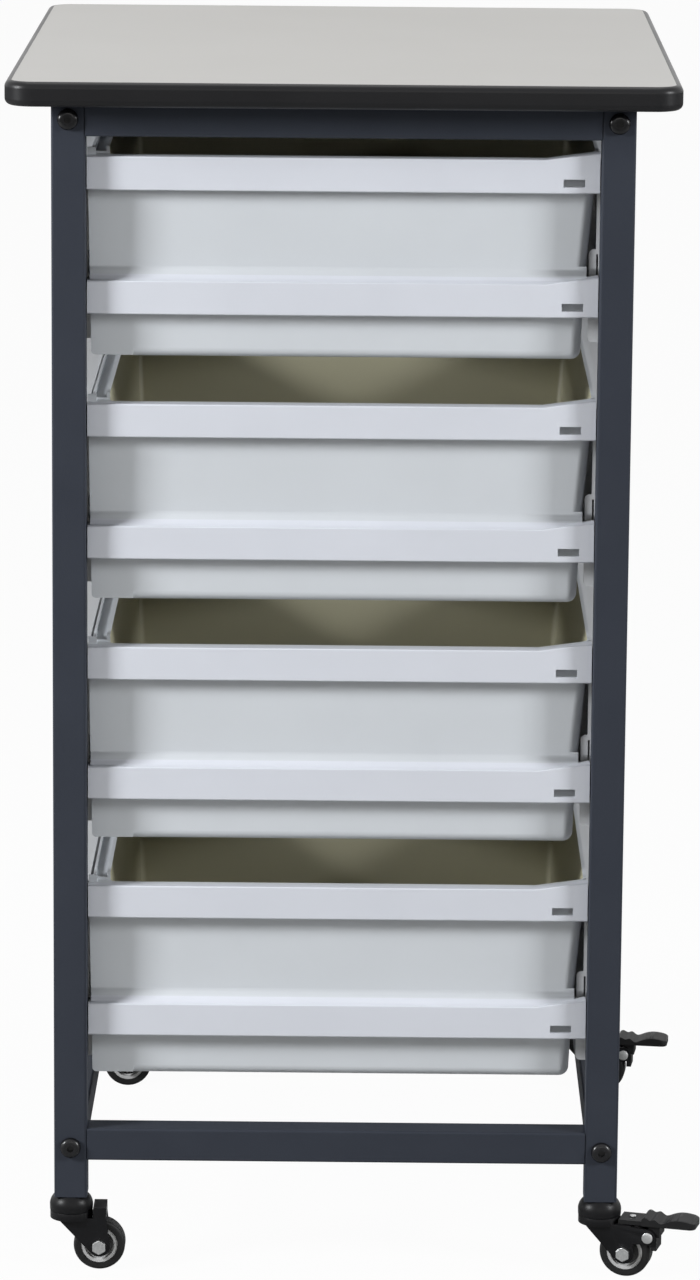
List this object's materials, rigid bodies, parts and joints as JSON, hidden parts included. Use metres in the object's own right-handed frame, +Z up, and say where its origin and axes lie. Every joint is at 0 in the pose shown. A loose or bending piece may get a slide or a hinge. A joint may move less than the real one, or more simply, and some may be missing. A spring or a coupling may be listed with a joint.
{
  "type": "mobile bin cart",
  "caption": "Mobile bin cart: a slate square-tube frame on swivel casters, with a grey laminate top and deep white pull-out bins.",
  "frame": {"origin": "middle of the whole cart's box, on the floor (the brake levers count, so the frame's own middle lies about 15 mm to -X)", "axes": "+X to the right seen from the front, +Y from the front to the back, +Z up"},
  "size_m": [0.5354, 0.594, 0.93],
  "materials": {
    "laminate": "pale grey laminate, satin with a fine grain",
    "edge": "black moulded edge, satin",
    "board": "raw particle board",
    "frame_paint": "slate powder coat, fine texture",
    "black_bolt": "blackened steel, satin",
    "steel": "zinc plated",
    "bin_white": "white moulded plastic, satin",
    "runner_white": "white moulded plastic, satin",
    "caster_black": "black nylon, satin",
    "tyre_black": "black rubber tread",
    "hub_grey": "moulded plastic hub",
    "lever_grey": "dark grey nylon"
  },
  "bodies": {
    "frame": {"table_core": "board", "table_laminate": "laminate", "table_backer": "edge", "table_edge": "edge", "table_screws": "steel", "front_top_rail": "frame_paint", "front_bottom_rail": "frame_paint", "front_left_post": "frame_paint", "front_right_post": "frame_paint", "rear_top_rail": "frame_paint", "rear_bottom_rail": "frame_paint", "rear_left_post": "frame_paint", "rear_right_post": "frame_paint", "left_top_rail": "frame_paint", "left_bottom_rail": "frame_paint", "runner_1_left": "runner_white", "runner_2_left": "runner_white", "runner_3_left": "runner_white", "runner_4_left": "runner_white", "right_top_rail": "frame_paint", "right_bottom_rail": "frame_paint", "runner_1_right": "runner_white", "runner_2_right": "runner_white", "runner_3_right": "runner_white", "runner_4_right": "runner_white", "frame_bolts": "black_bolt", "rail_inserts": "steel", "runner_screws": "steel", "caster_mounts": "caster_black"},
    "bin_1_body": {"bin_1": "bin_white"},
    "bin_2_body": {"bin_2": "bin_white"},
    "bin_3_body": {"bin_3": "bin_white"},
    "bin_4_body": {"bin_4": "bin_white"},
    "front_left_caster": {"front_left_fork": "caster_black", "front_left_axle": "steel"},
    "front_left_wheel": {"front_left_hub": "hub_grey", "front_left_tyre": "tyre_black"},
    "rear_left_caster": {"rear_left_fork": "caster_black", "rear_left_axle": "steel"},
    "rear_left_wheel": {"rear_left_hub": "hub_grey", "rear_left_tyre": "tyre_black"},
    "front_right_caster": {"front_right_fork": "caster_black", "front_right_axle": "steel", "front_right_brake_pin": "steel"},
    "front_right_wheel": {"front_right_hub": "hub_grey", "front_right_tyre": "tyre_black"},
    "front_right_brake": {"front_right_brake_lever": "lever_grey", "front_right_brake_rivet": "steel"},
    "rear_right_caster": {"rear_right_fork": "caster_black", "rear_right_axle": "steel", "rear_right_brake_pin": "steel"},
    "rear_right_wheel": {"rear_right_hub": "hub_grey", "rear_right_tyre": "tyre_black"},
    "rear_right_brake": {"rear_right_brake_lever": "lever_grey", "rear_right_brake_rivet": "steel"}
  },
  "joints": [
    {"name": "bin_1_slide", "type": "slide", "parent": "frame", "child": "bin_1_body", "axis": [0, -1, 0], "range_m": [0, 0.33]},
    {"name": "bin_2_slide", "type": "slide", "parent": "frame", "child": "bin_2_body", "axis": [0, -1, 0], "range_m": [0, 0.33]},
    {"name": "bin_3_slide", "type": "slide", "parent": "frame", "child": "bin_3_body", "axis": [0, -1, 0], "range_m": [0, 0.33]},
    {"name": "bin_4_slide", "type": "slide", "parent": "frame", "child": "bin_4_body", "axis": [0, -1, 0], "range_m": [0, 0.33]},
    {"name": "front_left_swivel", "type": "hinge", "parent": "frame", "child": "front_left_caster", "pos_m": [-0.22156, -0.2493, 0.041], "axis": [0, 0, 1], "continuous": true},
    {"name": "front_left_roll", "type": "hinge", "parent": "front_left_caster", "child": "front_left_wheel", "pos_m": [-0.19966, -0.2493, 0.02], "axis": [0, 1, 0], "continuous": true},
    {"name": "rear_left_swivel", "type": "hinge", "parent": "frame", "child": "rear_left_caster", "pos_m": [-0.22156, 0.2493, 0.041], "axis": [0, 0, 1], "continuous": true},
    {"name": "rear_left_roll", "type": "hinge", "parent": "rear_left_caster", "child": "rear_left_wheel", "pos_m": [-0.19966, 0.2493, 0.02], "axis": [0, 1, 0], "continuous": true},
    {"name": "front_right_swivel", "type": "hinge", "parent": "frame", "child": "front_right_caster", "pos_m": [0.18944, -0.2493, 0.041], "axis": [0, 0, 1], "continuous": true},
    {"name": "front_right_roll", "type": "hinge", "parent": "front_right_caster", "child": "front_right_wheel", "pos_m": [0.2106, -0.25497, 0.02], "axis": [0.2588, 0.9659, 0], "continuous": true},
    {"name": "front_right_brake_press", "type": "hinge", "parent": "front_right_caster", "child": "front_right_brake", "pos_m": [0.22905, -0.25991, 0.0345], "axis": [0.2588, 0.9659, 0], "range_deg": [0, 8]},
    {"name": "rear_right_swivel", "type": "hinge", "parent": "frame", "child": "rear_right_caster", "pos_m": [0.18944, 0.2493, 0.041], "axis": [0, 0, 1], "continuous": true},
    {"name": "rear_right_roll", "type": "hinge", "parent": "rear_right_caster", "child": "rear_right_wheel", "pos_m": [0.21113, 0.24625, 0.02], "axis": [0.1392, 0.9903, 0], "continuous": true},
    {"name": "rear_right_brake_press", "type": "hinge", "parent": "rear_right_caster", "child": "rear_right_brake", "pos_m": [0.23004, 0.24359, 0.0345], "axis": [0.1392, 0.9903, 0], "range_deg": [0, 8]}
  ]
}
